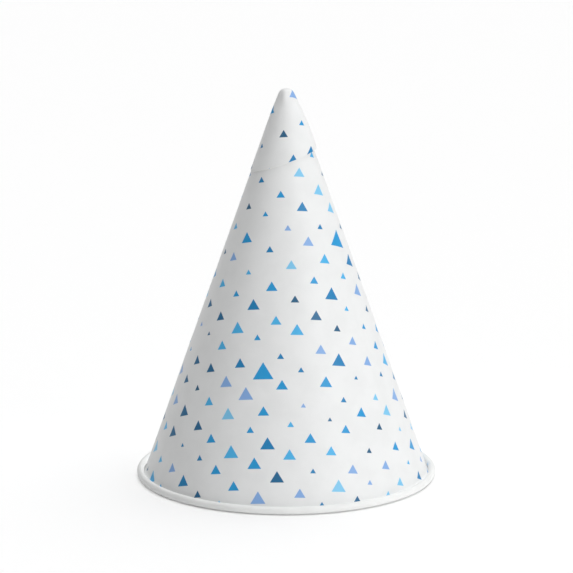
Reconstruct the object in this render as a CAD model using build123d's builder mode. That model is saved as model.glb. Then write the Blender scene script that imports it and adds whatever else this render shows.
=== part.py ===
from build123d import *
import math
import os

# Cone paper cup, standing mouth down on its rolled rim, tip up. Millimetres.
# Azimuths turn counter-clockwise seen from above and start at the back (+Y).

# overall sizes
rim_diameter = 73.0      # outside of the rolled rim
cup_height = 95.5        # underside of the rim to the end of the tip
tip_width = 3.4          # the blunt end, where the cone's side would meet it

# paper
sheet = 0.2              # one ply
lap_angle = 35.0         # how far the outer end laps over the inner end
lap_press = 0.9          # share of a ply the lap stands up, once glued and pressed

# rolled rim
roll_diameter = 2.1
roll_gap = 0.1           # air left between the turns of the roll
roll_tuck = 100.0        # how far the paper's edge runs on inside the roll

# tip wrap, where the outer end of the blank winds on round the tip
wrap_lift = 0.5          # inner face of the wall to outer face of the wrap
wrap_depth = 17.0        # its edge below the tip, on the axis
wrap_slant = 20.0        # its edge rises towards the right by this angle
tip_round = 0.8
tip_floor = 1.8          # folded paper closing the tip
bore_length = 5.0        # plain round bore left in the nose, measured from the tip

# roll and side of the cone follow from the sizes above
roll_radius = roll_diameter / 2
roll_x = rim_diameter / 2 - roll_radius
roll_z = roll_radius
side_x = roll_x - tip_width / 2
side_z = cup_height - roll_z
side_reach = math.hypot(side_x, side_z)
half_angle = math.atan2(side_x, side_z) - math.asin((roll_radius - wrap_lift) / side_reach)
lean_cos = math.cos(half_angle)
lean_sin = math.sin(half_angle)
side_line = lean_cos * roll_x + lean_sin * roll_z - roll_radius

# the paper winds as a spiral of two centres: the second half turns about a moved axis
seam_lift = sheet * lap_press
half_lift = seam_lift / 2
first_axis = Axis.Z
second_axis = Axis((0, half_lift, 0), (0, 0, 1))
back_plane = Plane.YZ
front_plane = Plane(origin=(0, half_lift, 0), x_dir=(0, -1, 0), z_dir=(-1, 0, 0))
lap_plane = back_plane.rotated((0, 0, lap_angle))
slant = Plane.XY.offset(cup_height - wrap_depth).rotated((0, -wrap_slant, 0))
skirt_z = roll_z
skirt_top = cup_height - 3
nose_foot = cup_height - wrap_depth - 8


def side_radius(z, lift):
    # radius of the cone's side at a height, lifted off the inner face of the wall
    return (side_line + lift - lean_sin * z) / lean_cos


def side_section(plane, lift, low, high, shift):
    # half section of a solid cone, from its axis to its side
    foot = side_radius(low, lift) + shift
    head = side_radius(high, lift) + shift
    with BuildSketch(plane) as section:
        with BuildLine():
            Polyline((0, low), (foot, low), (head, high), (0, high), close=True)
        make_face()
    return section.sketch


def nose_section(plane):
    # the same half section with its shoulder rounded
    with BuildSketch(plane) as section:
        with BuildLine():
            foot = (side_radius(nose_foot, wrap_lift), nose_foot)
            Polyline((0, nose_foot), foot, (tip_width / 2, cup_height), (0, cup_height), close=True)
        make_face()
        shoulder = section.vertices().filter_by_position(Axis.Y, cup_height - 0.1, cup_height + 0.1)
        fillet(shoulder.sort_by(Axis.X)[-1], radius=tip_round)
    return section.sketch


def on_roll(centre_x, radius, angle):
    return (centre_x + radius * math.cos(angle), roll_z + radius * math.sin(angle))


def roll_section(plane, shift):
    # the sheet leaves the wall, turns out and up, then tucks inside its own roll
    centre = roll_x + shift
    middle = roll_radius - sheet / 2
    drop = sheet + roll_gap
    moved = centre + drop / 2
    half = sheet / 2
    leave = math.degrees(half_angle) + 180
    leave_in = on_roll(centre, middle + half, math.radians(leave))
    leave_out = on_roll(centre, middle - half, math.radians(leave))
    tuck = math.radians(roll_tuck) + math.pi
    top_in = (side_radius(skirt_z, 0) + shift, skirt_z)
    top_out = (side_radius(skirt_z, sheet) + shift, skirt_z)
    with BuildSketch(plane) as section:
        with BuildLine():
            CenterArc((centre, roll_z), middle + half, leave, 360 - leave)
            CenterArc((moved, roll_z), middle - drop / 2 + half, 0, 180)
            CenterArc((centre, roll_z), middle - drop + half, 180, roll_tuck)
            Line(on_roll(centre, middle - drop + half, tuck), on_roll(centre, middle - drop - half, tuck))
            CenterArc((centre, roll_z), middle - drop - half, 180, roll_tuck)
            CenterArc((moved, roll_z), middle - drop / 2 - half, 0, 180)
            CenterArc((centre, roll_z), middle - half, leave, 360 - leave)
            Line(leave_out, top_out)
            Line(top_out, top_in)
            Line(top_in, leave_in)
        make_face()
    return section.sketch


# inside of the cup, with the step of the inner edge running up its back
with BuildPart() as hollow:
    add(side_section(back_plane, 0, skirt_z - 1, cup_height - bore_length, 0))
    revolve(axis=first_axis, revolution_arc=180)
    add(side_section(front_plane, 0, skirt_z - 1, cup_height - bore_length, half_lift))
    revolve(axis=second_axis, revolution_arc=180)
    add(side_section(back_plane, -sheet, cup_height - bore_length - 1, cup_height - tip_floor, 0))
    revolve(axis=first_axis)

# the nose, its outer wrap cut off along a slanted edge
with BuildPart() as nose:
    add(nose_section(back_plane))
    revolve(axis=first_axis)
    split(bisect_by=slant, keep=Keep.TOP)

# the cup: wound wall, wrapped nose, then the hollow, then the roll
with BuildPart() as cone_cup:
    add(side_section(back_plane, sheet, skirt_z, skirt_top, 0))
    revolve(axis=first_axis, revolution_arc=180)
    add(side_section(front_plane, sheet, skirt_z, skirt_top, half_lift))
    revolve(axis=second_axis, revolution_arc=180 + lap_angle)
    add(nose.part)
    add(hollow.part, mode=Mode.SUBTRACT)
    add(roll_section(lap_plane, 0))
    revolve(axis=first_axis, revolution_arc=180 - lap_angle)
    add(roll_section(front_plane, half_lift))
    revolve(axis=second_axis, revolution_arc=180 + lap_angle)

cone_cup.part.label = "cone_cup"

os.makedirs("parts", exist_ok=True)
export_step(cone_cup.part, "parts/cone_cup.step")
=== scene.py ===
import bpy
import math
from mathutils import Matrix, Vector


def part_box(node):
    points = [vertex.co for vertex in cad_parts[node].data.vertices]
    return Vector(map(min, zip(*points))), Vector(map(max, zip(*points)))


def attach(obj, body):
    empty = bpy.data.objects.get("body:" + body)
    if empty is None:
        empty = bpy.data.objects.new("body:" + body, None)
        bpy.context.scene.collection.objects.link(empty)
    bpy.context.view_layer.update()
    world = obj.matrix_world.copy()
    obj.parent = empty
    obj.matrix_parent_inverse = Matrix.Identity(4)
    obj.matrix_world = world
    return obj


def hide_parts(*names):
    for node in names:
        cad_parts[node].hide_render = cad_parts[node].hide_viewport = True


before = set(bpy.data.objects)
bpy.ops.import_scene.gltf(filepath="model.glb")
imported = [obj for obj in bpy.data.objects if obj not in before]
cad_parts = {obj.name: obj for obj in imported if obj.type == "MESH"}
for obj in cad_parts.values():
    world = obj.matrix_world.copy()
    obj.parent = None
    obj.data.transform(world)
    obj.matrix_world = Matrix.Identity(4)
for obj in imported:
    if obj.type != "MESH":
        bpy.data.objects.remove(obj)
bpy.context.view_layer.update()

cupLow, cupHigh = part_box("cone_cup")
mm = 0.001


def linearColour(hexText):
    # a screen colour written as hex, turned into linear light
    shares = [int(hexText[i:i + 2], 16) / 255 for i in (0, 2, 4)]
    return [s / 12.92 if s <= 0.04045 else ((s + 0.055) / 1.055) ** 2.4 for s in shares] + [1.0]


def plug(socket, value):
    # a socket takes another socket as a link, and anything else as its own value
    if isinstance(value, bpy.types.NodeSocket):
        socket.id_data.links.new(value, socket)
    else:
        socket.default_value = value


def addNode(tree, kind, inputs=None, **settings):
    node = tree.nodes.new(kind)
    for name, value in settings.items():
        setattr(node, name, value)
    for name, value in (inputs or {}).items():
        plug(node.inputs[name], value)
    return node


def calc(operation, *values):
    # the sum goes in the tree that its linked values come from
    tree = next(value.id_data for value in values if isinstance(value, bpy.types.NodeSocket))
    node = addNode(tree, "ShaderNodeMath", operation=operation)
    for socket, value in zip(node.inputs, values):
        plug(socket, value)
    return node.outputs[0]


def plus(first, *others):
    for value in others:
        first = calc("ADD", first, value)
    return first


def times(first, *others):
    for value in others:
        first = calc("MULTIPLY", first, value)
    return first


def minus(first, second):
    return calc("SUBTRACT", first, second)


def over(first, second):
    return calc("DIVIDE", first, second)


def smoothStep(value, low, high, bottom=0.0, top=1.0):
    node = addNode(value.id_data, "ShaderNodeMapRange", interpolation_type="SMOOTHSTEP")
    ends = {"Value": value, "From Min": low, "From Max": high, "To Min": bottom, "To Max": top}
    for name, given in ends.items():
        plug(node.inputs[name], given)
    return node.outputs[0]


def mixNumber(factor, first, second):
    node = addNode(factor.id_data, "ShaderNodeMix", {0: factor, 2: first, 3: second}, data_type="FLOAT")
    return node.outputs[0]


def mixColour(factor, first, second):
    node = addNode(factor.id_data, "ShaderNodeMix", {0: factor, 6: first, 7: second}, data_type="RGBA")
    return node.outputs[2]


def scaleVector(vector, amount):
    node = addNode(vector.id_data, "ShaderNodeVectorMath", {0: vector, "Scale": amount}, operation="SCALE")
    return node.outputs[0]


def addVector(first, second):
    return addNode(first.id_data, "ShaderNodeVectorMath", {0: first, 1: second}, operation="ADD").outputs[0]


def addRamp(factor, stops, interpolation):
    # stops are (place, grey or colour)
    node = addNode(factor.id_data, "ShaderNodeValToRGB", {0: factor})
    node.color_ramp.interpolation = interpolation
    elements = node.color_ramp.elements
    while len(elements) < len(stops):
        elements.new(1.0)
    for element, (place, tone) in zip(elements, stops):
        element.position = place
        element.color = tone if isinstance(tone, list) else (tone, tone, tone, 1.0)
    return node.outputs[0]


def newGroup(name, kind, inputs, outputs):
    # each socket is a name with its number, or with the kind of socket where it isn't a number
    tree = bpy.data.node_groups.new(name, kind)
    for direction, sockets in (("INPUT", inputs), ("OUTPUT", outputs)):
        for label, content in sockets.items():
            special = isinstance(content, str)
            socketType = content if special else "NodeSocketFloat"
            socket = tree.interface.new_socket(name=label, in_out=direction, socket_type=socketType)
            if not special:
                socket.default_value = content
    return tree, tree.nodes.new("NodeGroupInput").outputs, tree.nodes.new("NodeGroupOutput").inputs


cameraValues = {
    "elevation": 13.0,       # degrees above the table
    "distance": 0.85,
    "frameWidth": 0.1385,    # how wide the view is at the cup
    "sensor": 36.0,          # film width in the camera's own millimetres
    "aimDrop": 1.0 * mm,     # aims this much below the cup's middle
    "nearest": 0.01,
    "farthest": 20.0,
}


def addCamera(values):
    middle = (cupLow + cupHigh) / 2 - Vector((0, 0, values["aimDrop"]))
    tilt = math.radians(values["elevation"])
    back = Vector((0, -math.cos(tilt), math.sin(tilt)))
    data = bpy.data.cameras.new("studioCamera")
    data.sensor_width = values["sensor"]
    data.lens = values["sensor"] * values["distance"] / values["frameWidth"]
    data.clip_start = values["nearest"]
    data.clip_end = values["farthest"]
    camera = bpy.data.objects.new("studioCamera", data)
    camera.location = middle + back * values["distance"]
    camera.rotation_mode = "QUATERNION"
    camera.rotation_quaternion = (-back).to_track_quat("-Z", "Y")
    bpy.context.collection.objects.link(camera)
    bpy.context.scene.camera = camera


lampValues = {
    # azimuth is in degrees to the right of the camera, and height in degrees above the table
    "keyRight": {"azimuth": 45.0, "height": 15.0, "spread": 40.0, "strength": 1.56, "shadow": False},
    "skySoft": {"azimuth": 160.0, "height": 76.0, "spread": 90.0, "strength": 2.75, "shadow": True},
}


def addLamp(name, values):
    around = math.radians(values["azimuth"])
    up = math.radians(values["height"])
    away = Vector((math.cos(up) * math.sin(around), -math.cos(up) * math.cos(around), math.sin(up)))
    data = bpy.data.lights.new(name, "SUN")
    data.angle = math.radians(values["spread"])
    data.energy = values["strength"]
    data.use_shadow = values["shadow"]
    lamp = bpy.data.objects.new(name, data)
    lamp.location = away
    lamp.rotation_mode = "QUATERNION"
    lamp.rotation_quaternion = (-away).to_track_quat("-Z", "Y")
    bpy.context.collection.objects.link(lamp)


studioValues = {
    "worldColour": "FFFFFF",
    "worldStrength": 0.06,    # as a light; the camera sees it at full white
    "floorRadius": 6.0,
    "floorSides": 72,
    "floorColour": "FCFCFC",
    "floorRoughness": 0.75,
    "floorSpecular": 0.2,
}


def addWorld(values):
    world = bpy.data.worlds.new("studioWorld")
    world.use_nodes = True
    sky = world.node_tree
    background = sky.nodes["Background"]
    background.inputs["Color"].default_value = linearColour(values["worldColour"])
    seen = addNode(sky, "ShaderNodeLightPath").outputs["Is Camera Ray"]
    plug(background.inputs["Strength"], mixNumber(seen, values["worldStrength"], 1.0))
    bpy.context.scene.world = world
    bpy.context.scene.view_settings.view_transform = "Standard"


def addFloor(values):
    turns = [2 * math.pi * i / values["floorSides"] for i in range(values["floorSides"])]
    corners = [(values["floorRadius"] * math.cos(a), values["floorRadius"] * math.sin(a), 0) for a in turns]
    mesh = bpy.data.meshes.new("floor")
    mesh.from_pydata(corners, [], [list(range(len(corners)))])
    floor = bpy.data.objects.new("floor", mesh)
    bpy.context.collection.objects.link(floor)
    paint = bpy.data.materials.new("floorPaint")
    paint.use_nodes = True
    shader = paint.node_tree.nodes["Principled BSDF"]
    shader.inputs["Base Color"].default_value = linearColour(values["floorColour"])
    shader.inputs["Roughness"].default_value = values["floorRoughness"]
    shader.inputs["Specular IOR Level"].default_value = values["floorSpecular"]
    mesh.materials.append(paint)


addCamera(cameraValues)
for lampName, lampSettings in lampValues.items():
    addLamp(lampName, lampSettings)
addWorld(studioValues)
addFloor(studioValues)
print("camera, lamps and floor set")


# the print is laid out in millimetres on the flat blank
printValues = {
    "firstStep": (5.25, -3.4),      # the two steps of the lattice that the triangles stand on
    "secondStep": (-4.25, -4.85),
    "jitter": 0.75,                 # either way from the lattice
    "largest": 5.8,
    # share of the largest that each throw of the dice gives
    "sizes": [(0.0, 0.19), (0.37, 0.36), (0.39, 0.42), (0.70, 0.50), (0.72, 0.54), (0.965, 0.66),
              (0.97, 0.84), (1.0, 0.90)],
    "sizeThrow": (31.7, 12.9, 7.3),    # keeps the throw for size apart from the others
    "cornerRound": 0.10,
    "squash": 0.94,                 # height of each triangle beside an even-sided one
    "darkUpTo": 2.2,                # larger ones leave out the last, darkest tone
    "darkFade": 0.2,
    "lightShare": 0.87,
    "bigFrom": 4.5,                 # from this size on they all take one middle blue
    "bigTone": 0.4,
    "seed": 7.0,
}


def makeOneTriangle(values):
    # the triangle that stands near one corner of the lattice cell round the point
    tree, given, result = newGroup(
        "oneTriangle", "ShaderNodeTree",
        {"Point": "NodeSocketVector", "Corner A": 0.0, "Corner B": 0.0, "Softness": 0.04, "Seed": 0.0},
        {"Mask": 0.0, "Tone": 0.0})
    (ax, ay), (bx, by) = values["firstStep"], values["secondStep"]
    area = ax * by - ay * bx
    place = addNode(tree, "ShaderNodeSeparateXYZ", {0: given["Point"]}).outputs
    stepsA = plus(times(place[0], by / area), times(place[1], -bx / area))
    stepsB = plus(times(place[0], -ay / area), times(place[1], ax / area))
    countA = plus(calc("FLOOR", stepsA), given["Corner A"])
    countB = plus(calc("FLOOR", stepsB), given["Corner B"])

    # three throws of the dice from one noise, for shift and tone, and another for size
    number = addNode(tree, "ShaderNodeCombineXYZ", {0: countA, 1: countB, 2: given["Seed"]}).outputs[0]
    chance = addNode(tree, "ShaderNodeTexWhiteNoise", {0: number}, noise_dimensions="3D").outputs[1]
    dice = addNode(tree, "ShaderNodeSeparateColor", {0: chance}).outputs
    other = addVector(number, values["sizeThrow"])
    sizeDice = addNode(tree, "ShaderNodeTexWhiteNoise", {0: other}, noise_dimensions="3D").outputs[0]

    def fromCentre(axis, first, second, roll):
        lattice = plus(times(countA, first), times(countB, second))
        shift = calc("MULTIPLY_ADD", roll, 2 * values["jitter"], -values["jitter"])
        return minus(place[axis], plus(lattice, shift))

    across = fromCentre(0, ax, bx, dice[0])
    along = over(fromCentre(1, ay, by, dice[1]), values["squash"])
    side = times(addRamp(sizeDice, values["sizes"], "LINEAR"), values["largest"])

    # how far the point lies outside the nearest of the three edges
    slope = math.cos(math.pi / 6)
    rightEdge = plus(times(across, slope), times(along, 0.5))
    leftEdge = plus(times(across, -slope), times(along, 0.5))
    slanted = calc("SMOOTH_MAX", rightEdge, leftEdge, values["cornerRound"])
    nearest = calc("SMOOTH_MAX", slanted, times(along, -1.0), values["cornerRound"])
    depth = minus(over(side, 2 * math.sqrt(3)), nearest)
    plug(result["Mask"], smoothStep(depth, times(given["Softness"], -1.0), given["Softness"]))

    darkEnd = values["darkUpTo"] + values["darkFade"]
    tone = times(dice[2], smoothStep(side, values["darkUpTo"], darkEnd, 1.0, values["lightShare"]))
    isBig = calc("GREATER_THAN", side, values["bigFrom"])
    plug(result["Tone"], mixNumber(isBig, tone, values["bigTone"]))
    return tree


def makeTrianglePrint(values):
    # scattered triangles over the flat blank: how much ink, and which tone of it
    single = makeOneTriangle(values)
    tree, given, result = newGroup(
        "trianglePrint", "ShaderNodeTree",
        {"Blank": "NodeSocketVector", "Softness": 0.04, "Seed": values["seed"]},
        {"Ink": 0.0, "Tone": 0.0})
    point = scaleVector(given["Blank"], 1 / mm)
    ink, tone = None, None
    for cornerA in (0.0, 1.0):
        for cornerB in (0.0, 1.0):
            inputs = {"Point": point, "Corner A": cornerA, "Corner B": cornerB,
                      "Softness": given["Softness"], "Seed": given["Seed"]}
            one = addNode(tree, "ShaderNodeGroup", node_tree=single)
            for name, value in inputs.items():
                plug(one.inputs[name], value)
            if ink is None:
                ink, tone = one.outputs["Mask"], one.outputs["Tone"]
            else:
                covers = calc("GREATER_THAN", one.outputs["Mask"], ink)
                tone = mixNumber(covers, tone, one.outputs["Tone"])
                ink = calc("MAXIMUM", ink, one.outputs["Mask"])
    plug(result["Ink"], ink)
    plug(result["Tone"], tone)
    return tree


paperValues = {
    "fibreScale": 2600.0,
    "fibreStretch": (1.0, 1.0, 0.45),    # fibres run a little along the cup
    "fibreDepth": 0.5,                   # beside the cloudy formation
    "cloudScale": 160.0,
    "cloudLow": 0.35,
    "cloudHigh": 0.68,
    "cloudShade": 0.965,                 # how light the thin places of the sheet stay
    "roughnessSpread": 0.16,
    "coatRoughness": 0.35,
    "bumpDistance": 0.06 * mm,
}


def makePaperGrain(values):
    # fibres, cloudy formation and small dents of coated paper
    tree, given, result = newGroup(
        "paperGrain", "ShaderNodeTree",
        {"Fibre Scale": values["fibreScale"], "Cloud Scale": values["cloudScale"],
         "Fibre Depth": values["fibreDepth"]},
        {"Height": 0.0, "Cloud": 0.0, "Fibre": 0.0})
    place = addNode(tree, "ShaderNodeTexCoord").outputs["Object"]
    stretched = addNode(tree, "ShaderNodeVectorMath", {0: place, 1: values["fibreStretch"]},
                        operation="MULTIPLY").outputs[0]
    fibre = addNode(tree, "ShaderNodeTexNoise", {"Vector": stretched, "Scale": given["Fibre Scale"],
                                                 "Detail": 4.0, "Roughness": 0.65, "Distortion": 0.6})
    cloud = addNode(tree, "ShaderNodeTexNoise", {"Vector": place, "Scale": given["Cloud Scale"],
                                                 "Detail": 3.0, "Roughness": 0.55})
    plug(result["Height"], calc("MULTIPLY_ADD", fibre.outputs[0], given["Fibre Depth"], cloud.outputs[0]))
    plug(result["Cloud"], cloud.outputs[0])
    plug(result["Fibre"], fibre.outputs[0])
    return tree


trianglePrint = makeTrianglePrint(printValues)
paperGrain = makePaperGrain(paperValues)
print("print and paper groups made")


finishValues = {
    "printedSide": {"paper": "E7E8E8", "roughness": 0.50, "specular": 0.28, "coat": 0.04, "bump": 0.10},
    "plainSide": {"paper": "EAEBEA", "roughness": 0.55, "specular": 0.40, "coat": 0.05, "bump": 0.12},
    # the cut edges' paper is greyer than the faces' as painted shade on the edges
    "cutEdgePaintedShade": {"paper": "DDDCDA", "roughness": 0.85, "specular": 0.25, "coat": 0.0, "bump": 0.35},
}
inkValues = {
    "tones": [(0.00, "20628D"), (0.15, "197CB3"), (0.31, "2195D0"), (0.49, "49AFE3"), (0.60, "7DC4E9"),
              (0.68, "86ABDE"), (0.88, "285A7D")],
    "softness": 0.03,            # mm from paper to full ink
    "smoothing": -0.06,          # what ink does to the roughness
    "mottle": 0.10,
    "mottleColour": "8FC4E6",
    "ghost": 0.13,               # how much of the print shows through to the inside
    "ghostColour": "5F7A96",
    "ghostSoftness": 0.35,
}


def addPrint(tree, softness):
    # the ink on each spot and its tone, kept off the rolled rim
    blank = addNode(tree, "ShaderNodeUVMap", uv_map="blank").outputs[0]
    margin = addNode(tree, "ShaderNodeAttribute", attribute_name="printed").outputs["Fac"]
    inputs = {"Blank": blank, "Softness": softness, "Seed": printValues["seed"]}
    ink = addNode(tree, "ShaderNodeGroup", node_tree=trianglePrint)
    for name, value in inputs.items():
        plug(ink.inputs[name], value)
    return times(ink.outputs["Ink"], margin), ink.outputs["Tone"]


def makeFinish(name, values, shows):
    paint = bpy.data.materials.new(name)
    paint.use_nodes = True
    tree = paint.node_tree
    shader = tree.nodes["Principled BSDF"].inputs
    shader["Specular IOR Level"].default_value = values["specular"]
    shader["Coat Weight"].default_value = values["coat"]
    shader["Coat Roughness"].default_value = paperValues["coatRoughness"]

    grain = addNode(tree, "ShaderNodeGroup", node_tree=paperGrain).outputs
    light = linearColour(values["paper"])
    shade = [channel * paperValues["cloudShade"] for channel in light[:3]] + [1.0]
    cloud = smoothStep(grain["Cloud"], paperValues["cloudLow"], paperValues["cloudHigh"])
    colour = mixColour(cloud, light, shade)
    spread = paperValues["roughnessSpread"]
    roughness = calc("MULTIPLY_ADD", grain["Fibre"], spread, values["roughness"] - spread / 2)
    if shows == "print":
        amount, tone = addPrint(tree, inkValues["softness"])
        stops = [(place, linearColour(hexText)) for place, hexText in inkValues["tones"]]
        mottle = times(grain["Fibre"], inkValues["mottle"])
        ink = mixColour(mottle, addRamp(tone, stops, "CONSTANT"), linearColour(inkValues["mottleColour"]))
        colour = mixColour(amount, colour, ink)
        roughness = calc("MULTIPLY_ADD", amount, inkValues["smoothing"], roughness)
    elif shows == "ghost":
        amount = addPrint(tree, inkValues["ghostSoftness"])[0]
        faint = times(amount, inkValues["ghost"])
        colour = mixColour(faint, colour, linearColour(inkValues["ghostColour"]))
    bump = addNode(tree, "ShaderNodeBump", {"Strength": values["bump"], "Height": grain["Height"],
                                           "Distance": paperValues["bumpDistance"]})
    plug(shader["Base Color"], colour)
    plug(shader["Roughness"], roughness)
    plug(shader["Normal"], bump.outputs[0])
    return paint


printedSide = makeFinish("printedSide", finishValues["printedSide"], "print")
plainSide = makeFinish("plainSide", finishValues["plainSide"], "ghost")
cutEdgePaintedShade = makeFinish("cutEdgePaintedShade", finishValues["cutEdgePaintedShade"], "paper")
print("paper finishes made")


blankValues = {
    "tipWidth": 3.4 * mm,      # the blunt end, where the cone's side would meet it
    "wrapLift": 0.5 * mm,      # inner face of the wall to outer face of the wrap
    "sheet": 0.2 * mm,
    "rollRadius": 1.05 * mm,
    "rollTuck": 100.0,         # degrees the edge runs on inside the roll
    "lap": 35.0,               # degrees the outer end laps over the inner end
    "wrapEnd": 355.0,          # degrees the wrap winds on past the start of the second turn
    "wrapDepth": 17.0 * mm,    # its edge below the tip
    "wrapSlant": 20.0,
    "cornerRise": 6.0 * mm,    # rounded corner where lap and wrap meet
    "cornerTurn": 7.0,
    "endRound": 2.6 * mm,      # and where the wrap ends
    "endTurn": 14.0,
    "looseEdge": 7.0 * mm,     # strip along the wrap's edge that stands off
    "shoulder": 5.2 * mm,      # below the tip, where the side turns in to close it
    "closingShare": 1.2,       # length of paper that closes the tip, beside the shoulder
    "printOver": 0.4 * mm,     # how far the print runs on into the roll
    "columnStep": 2.5,         # degrees of turn for each column of faces
    "tipRows": 18,
    "wrapRows": 34,
    "sideRows": 64,
    "rollRows": 40,
}


def blankSizes(values):
    # the side touches the inside of the roll and meets the blunt end, wrapped in its plies
    rollX = -cupLow.x - values["rollRadius"]
    rollZ = cupLow.z + values["rollRadius"]
    sideX = rollX - values["tipWidth"] / 2
    sideZ = cupHigh.z - rollZ
    turnedIn = math.asin((values["rollRadius"] - values["wrapLift"]) / math.hypot(sideX, sideZ))
    half = math.atan2(sideX, sideZ) - turnedIn

    # the roll's and the side's middle lines, and reaches down the blank from the cone's point
    middle = values["rollRadius"] - values["sheet"] / 2
    apex = (math.cos(half) * rollX + math.sin(half) * rollZ - middle) / math.sin(half)
    leaveReach = (apex - rollZ + middle * math.sin(half)) / math.cos(half)
    shoulderReach = (apex - cupHigh.z + values["shoulder"]) / math.cos(half)
    sweep = 2 * math.pi - half + math.radians(values["rollTuck"])
    return {
        "half": half,
        "apex": apex,
        "rollMiddle": middle,
        "rollX": rollX,
        "rollZ": rollZ,
        "tipReach": shoulderReach - values["shoulder"] * values["closingShare"],
        "shoulderReach": shoulderReach,
        "leaveReach": leaveReach,
        "edgeReach": leaveReach + sweep * middle,
    }


def wrapReach(values, sizes, turn):
    # where the wrap's slanted edge crosses a line of the cone
    slant = math.tan(math.radians(values["wrapSlant"]))
    lean = slant * math.sin(math.radians(turn)) * math.tan(sizes["half"])
    aboveTip = sizes["apex"] - cupHigh.z
    depth = (values["wrapDepth"] + lean * aboveTip) / (1 - lean)
    reach = (aboveTip + depth) / math.cos(sizes["half"])
    start = 360 + values["lap"]
    if turn >= start:
        reach += values["cornerRise"] * math.exp(-(turn - start) / values["cornerTurn"])
        last = (turn - (360 + values["wrapEnd"] - values["endTurn"])) / values["endTurn"]
        if last > 0:
            reach -= values["endRound"] * (1 - math.sqrt(max(0.0, 1 - last * last)))
    return reach


def evenSteps(low, high, count):
    return [low + (high - low) * (i + 1) / count for i in range(count)]


def blankColumn(values, sizes, turn):
    # distances from the cone's point down one line of the blank
    lapEnd = 360 + values["lap"]
    edge = wrapReach(values, sizes, max(turn, lapEnd))
    column = [sizes["tipReach"]]
    column += evenSteps(sizes["tipReach"], sizes["shoulderReach"], values["tipRows"])
    column += evenSteps(sizes["shoulderReach"], edge, values["wrapRows"])
    if turn <= lapEnd:
        column += evenSteps(edge, sizes["leaveReach"], values["sideRows"])
        column += evenSteps(sizes["leaveReach"], sizes["edgeReach"], values["rollRows"])
    return column


def makeBlank(values, sizes):
    # the flat sheet: a wide sector for the side and a short one beyond it for the wrap
    lapEnd = 360 + values["lap"]
    wrapEnd = 360 + values["wrapEnd"]
    turns = [0.0] + evenSteps(0.0, lapEnd, round(lapEnd / values["columnStep"]))
    turns += evenSteps(lapEnd, wrapEnd, round((wrapEnd - lapEnd) / values["columnStep"]))
    points, printed, loose, columns, faces = [], [], [], [], []
    for turn in turns:
        flat = math.radians(turn - 180) * math.sin(sizes["half"])
        onRight = 0.5 - 0.5 * math.sin(math.radians(turn))
        column = blankColumn(values, sizes, turn)
        columns.append(range(len(points), len(points) + len(column)))
        for reach in column:
            points.append((reach * math.sin(flat), -reach * math.cos(flat), 0.0))
            printed.append(1.0 if reach < sizes["leaveReach"] + values["printOver"] else 0.0)
            nearEdge = max(0.0, 1 - (column[-1] - reach) / values["looseEdge"]) if turn > lapEnd else 0.0
            loose.append(nearEdge ** 2 * onRight ** 2)
    for left, right in zip(columns, columns[1:]):
        for i in range(min(len(left), len(right)) - 1):
            faces.append((left[i], left[i + 1], right[i + 1], right[i]))

    mesh = bpy.data.meshes.new("paperBlank")
    mesh.from_pydata(points, [], faces)
    layer = mesh.uv_layers.new(name="blank")
    for loop in mesh.loops:
        layer.data[loop.index].uv = points[loop.vertex_index][:2]
    for name, numbers in (("printed", printed), ("loose", loose)):
        mesh.attributes.new(name, "FLOAT", "POINT").data.foreach_set("value", numbers)
    for finish in (printedSide, plainSide, cutEdgePaintedShade):
        mesh.materials.append(finish)
    piece = bpy.data.objects.new("coneCup", mesh)
    bpy.context.collection.objects.link(piece)
    return piece


windValues = {
    "plyLift": 0.215 * mm,      # each further ply lies this much outside the last
    "climbOver": 26.0,          # degrees it takes to climb over an edge
    "rollDrop": 0.42 * mm,      # how much nearer the centre the next turn of the roll lies
    "looseLift": 0.24 * mm,     # the wrap's edge stands off by this
    "bulge": 0.62 * mm,         # the wrap swells this much on its right
    "bulgeDepth": 10.0 * mm,    # below the tip
    "bulgeLength": 5.5 * mm,
    "bulgeTurn": 632.0,         # degrees wound by then, which is the right side
    "bulgeSpread": 43.0,        # degrees either way
    "ridge": 0.24 * mm,         # fold standing up at the tip
    "ridgeDepth": 1.6 * mm,
    "ridgeTurn": 168.0,         # degrees round from the back, which is near the front
    "ridgeSpread": 18.4,        # degrees either way
    "tipDrop": 0.35 * mm,       # keeps the closed tip inside the cup's height
    "tipFullness": 0.8,         # how straight the side runs on into the closing curve
    "tipFlatness": 0.52,        # how much of the shoulder's width stays flat on top
    "dentDepth": 0.12 * mm,
    "dentScale": 55.0,
    "outOfRound": 0.0022,       # share of the radius
    "widestTurn": -25.8,        # degrees round from the back
    "seed": 4.0,
    "sharpFrom": 50.0,          # degrees between faces that stay a crisp edge
}


def windInputs(values, sizes):
    return {
        "Half Angle": sizes["half"],
        "Apex Height": sizes["apex"],
        "Leave Reach": sizes["leaveReach"],
        "Shoulder Reach": sizes["shoulderReach"],
        "Tip Reach": sizes["tipReach"],
        "Tip Height": cupHigh.z - values["tipDrop"],
        "Tip Fullness": values["tipFullness"],
        "Tip Flatness": values["tipFlatness"],
        "Roll Radius": sizes["rollMiddle"],
        "Roll Centre X": sizes["rollX"],
        "Roll Centre Z": sizes["rollZ"],
        "Roll Drop": values["rollDrop"],
        "Climb From": 1 - values["climbOver"] / 360,
        "Ply Lift": values["plyLift"],
        "Loose Lift": values["looseLift"],
        "Bulge": values["bulge"],
        "Bulge Depth": values["bulgeDepth"],
        "Bulge Length": values["bulgeLength"],
        "Bulge Turn": math.radians(values["bulgeTurn"]),
        "Bulge Spread": math.radians(values["bulgeSpread"]),
        "Ridge": values["ridge"],
        "Ridge Depth": values["ridgeDepth"],
        "Ridge Turn": math.radians(values["ridgeTurn"]),
        "Ridge Spread": math.sin(math.radians(values["ridgeSpread"] / 2)),
        "Dent Depth": values["dentDepth"],
        "Dent Scale": values["dentScale"],
        "Out Of Round": values["outOfRound"],
        "Widest Turn": math.radians(values["widestTurn"]),
        "Seed": values["seed"],
    }


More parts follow.
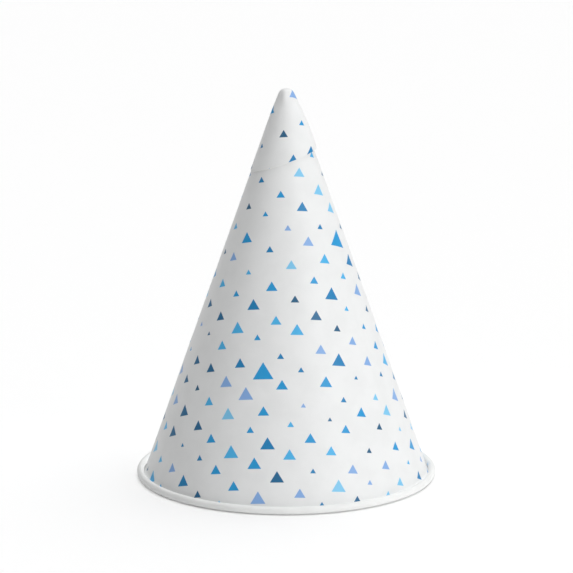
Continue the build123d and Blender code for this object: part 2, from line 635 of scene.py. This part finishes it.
def curveThrough(closing, rest, first, second, third, last):
    # a cubic curve's number from its two ends and two handles
    return plus(times(rest, rest, rest, first), times(rest, rest, closing, 3.0, second),
                times(rest, closing, closing, 3.0, third), times(closing, closing, closing, last))


def closeTip(given, closing, rest):
    # radius and height of the tip, from the shoulder in to the axis
    shoulderR = times(given["Shoulder Reach"], calc("SINE", given["Half Angle"]))
    down = times(given["Shoulder Reach"], calc("COSINE", given["Half Angle"]))
    shoulderZ = minus(given["Apex Height"], down)
    rise = minus(given["Tip Height"], shoulderZ)
    handleR = minus(shoulderR, times(rise, calc("TANGENT", given["Half Angle"])))
    handleZ = plus(shoulderZ, times(rise, given["Tip Fullness"]))
    flatR = times(shoulderR, given["Tip Flatness"])
    tipR = curveThrough(closing, rest, shoulderR, handleR, flatR, 0.0)
    tipZ = curveThrough(closing, rest, shoulderZ, handleZ, given["Tip Height"], given["Tip Height"])
    return tipR, tipZ


def rollRim(given, reach, climb):
    # out, up and back in under its own edge, with a further ply curling inside the first
    past = calc("MAXIMUM", minus(reach, given["Leave Reach"]), 0.0)
    angle = plus(over(past, given["Roll Radius"]), given["Half Angle"], math.pi)
    inner = smoothStep(angle, 2 * math.pi, 3 * math.pi)
    nested = times(climb, given["Ply Lift"], calc("COSINE", given["Half Angle"]))
    radius = minus(minus(given["Roll Radius"], times(inner, given["Roll Drop"])), nested)
    rollR = plus(given["Roll Centre X"], times(radius, calc("COSINE", angle)))
    rollZ = plus(given["Roll Centre Z"], times(radius, calc("SINE", angle)))
    return rollR, rollZ


def hump(offset, width):
    # one at the middle, falling off to nothing
    share = over(offset, width)
    return calc("EXPONENT", times(share, share, -1.0))


def liftPly(tree, given, turn, climb, height):
    # how far the paper stands off the first ply: plies under it, loose edge, slack and fold
    attribute = addNode(tree, "GeometryNodeInputNamedAttribute", {"Name": "loose"}, data_type="FLOAT")
    loose = attribute.outputs["Attribute"]
    below = minus(given["Tip Height"], height)
    bulge = times(hump(minus(turn, given["Bulge Turn"]), given["Bulge Spread"]),
                  hump(minus(below, given["Bulge Depth"]), given["Bulge Length"]))
    aside = calc("SINE", times(minus(turn, given["Ridge Turn"]), 0.5))
    ridge = times(hump(aside, given["Ridge Spread"]),
                  hump(minus(below, given["Ridge Depth"]), given["Ridge Depth"]))
    return plus(times(climb, given["Ply Lift"]), times(loose, given["Loose Lift"]),
                times(bulge, given["Bulge"]), times(ridge, given["Ridge"]))


def makeWindTree(inputs):
    tree, given, result = newGroup(
        "windBlank", "GeometryNodeTree",
        {"Geometry": "NodeSocketGeometry", **inputs, "Material": "NodeSocketMaterial"},
        {"Geometry": "NodeSocketGeometry"})

    # where the point lies on the flat blank, and how far round the cup that is
    position = addNode(tree, "GeometryNodeInputPosition").outputs[0]
    flat = addNode(tree, "ShaderNodeSeparateXYZ", {0: position}).outputs
    reach = calc("SQRT", plus(times(flat[0], flat[0]), times(flat[1], flat[1])))
    fan = calc("ARCTAN2", flat[0], times(flat[1], -1.0))
    sine = calc("SINE", given["Half Angle"])
    turn = plus(over(fan, sine), math.pi)

    # each further turn climbs over the starting edge of the one under it
    turns = over(turn, 2 * math.pi)
    climb = plus(calc("FLOOR", turns), smoothStep(calc("FRACT", turns), given["Climb From"], 1.0))

    # side, tip and rim, one after another down the blank
    closingPaper = minus(given["Shoulder Reach"], given["Tip Reach"])
    closing = calc("MAXIMUM", over(minus(given["Shoulder Reach"], reach), closingPaper), 0.0)
    rest = minus(1.0, closing)
    tipR, tipZ = closeTip(given, closing, rest)
    rollR, rollZ = rollRim(given, reach, climb)
    inTip = calc("LESS_THAN", reach, given["Shoulder Reach"])
    inRoll = calc("GREATER_THAN", reach, given["Leave Reach"])
    radius = mixNumber(inTip, times(reach, sine), tipR)
    sideZ = minus(given["Apex Height"], times(reach, calc("COSINE", given["Half Angle"])))
    height = mixNumber(inTip, sideZ, tipZ)
    lift = liftPly(tree, given, turn, climb, height)
    radius = mixNumber(inRoll, plus(radius, times(lift, minus(1.0, times(closing, closing)))), rollR)
    height = mixNumber(inRoll, plus(height, times(lift, closing, rest)), rollZ)

    # small dents, and a mouth that isn't quite round
    leftward = times(calc("SINE", turn), -1.0)
    outward = addNode(tree, "ShaderNodeCombineXYZ", {0: leftward, 1: calc("COSINE", turn)}).outputs[0]
    upward = addNode(tree, "ShaderNodeCombineXYZ", {2: height}).outputs[0]
    place = addVector(scaleVector(outward, radius), upward)
    noise = addNode(tree, "ShaderNodeTexNoise", {"Vector": place, "W": given["Seed"], "Detail": 1.5,
                                                 "Scale": given["Dent Scale"]}, noise_dimensions="4D")
    dents = times(minus(noise.outputs[0], 0.5), given["Dent Depth"], rest)
    swing = calc("COSINE", times(minus(turn, given["Widest Turn"]), 2.0))
    oval = times(radius, given["Out Of Round"], swing)
    place = addVector(place, scaleVector(outward, plus(dents, oval)))

    wound = addNode(tree, "GeometryNodeSetPosition", {"Geometry": given["Geometry"], "Position": place})
    closed = addNode(tree, "GeometryNodeMergeByDistance", {"Geometry": wound.outputs[0], "Distance": 1e-6})
    smooth = addNode(tree, "GeometryNodeSetShadeSmooth", {"Geometry": closed.outputs[0]})
    real = addNode(tree, "GeometryNodeRealizeInstances", {"Geometry": smooth.outputs[0]})
    last = addNode(tree, "GeometryNodeSetMaterial", {"Geometry": real.outputs[0],
                                                     "Material": given["Material"]})
    plug(result["Geometry"], last.outputs[0])
    return tree


def windCup(piece, values, blank, sizes):
    # winds the blank, gives it the paper's thickness and leaves a plain mesh
    inputs = windInputs(values, sizes)
    winding = piece.modifiers.new("windBlank", "NODES")
    winding.node_group = makeWindTree(inputs)
    inputs["Material"] = printedSide
    for socket in winding.node_group.interface.items_tree:
        if socket.in_out == "INPUT" and socket.name in inputs:
            winding[socket.identifier] = inputs[socket.name]
    ply = piece.modifiers.new("plyThickness", "SOLIDIFY")
    ply.thickness = blank["sheet"]
    ply.offset = 0.0
    ply.use_even_offset = False
    ply.material_offset = 1        # the inside is the plain side
    ply.material_offset_rim = 2    # and the edges show bare paper, greyed a little as painted shade
    bpy.context.view_layer.update()
    graph = bpy.context.evaluated_depsgraph_get()
    plain = bpy.data.meshes.new_from_object(piece.evaluated_get(graph), preserve_all_data_layers=True,
                                            depsgraph=graph)
    plain.name = "coneCup"
    piece.modifiers.clear()
    piece.data = plain
    plain.set_sharp_from_angle(angle=math.radians(values["sharpFrom"]))


cupSizes = blankSizes(blankValues)
cup = makeBlank(blankValues, cupSizes)
print("flat blank cut,", len(cup.data.vertices), "points")
windCup(cup, windValues, blankValues, cupSizes)
print("cup wound,", len(cup.data.polygons), "faces")

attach(cup, "root")
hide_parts("cone_cup")
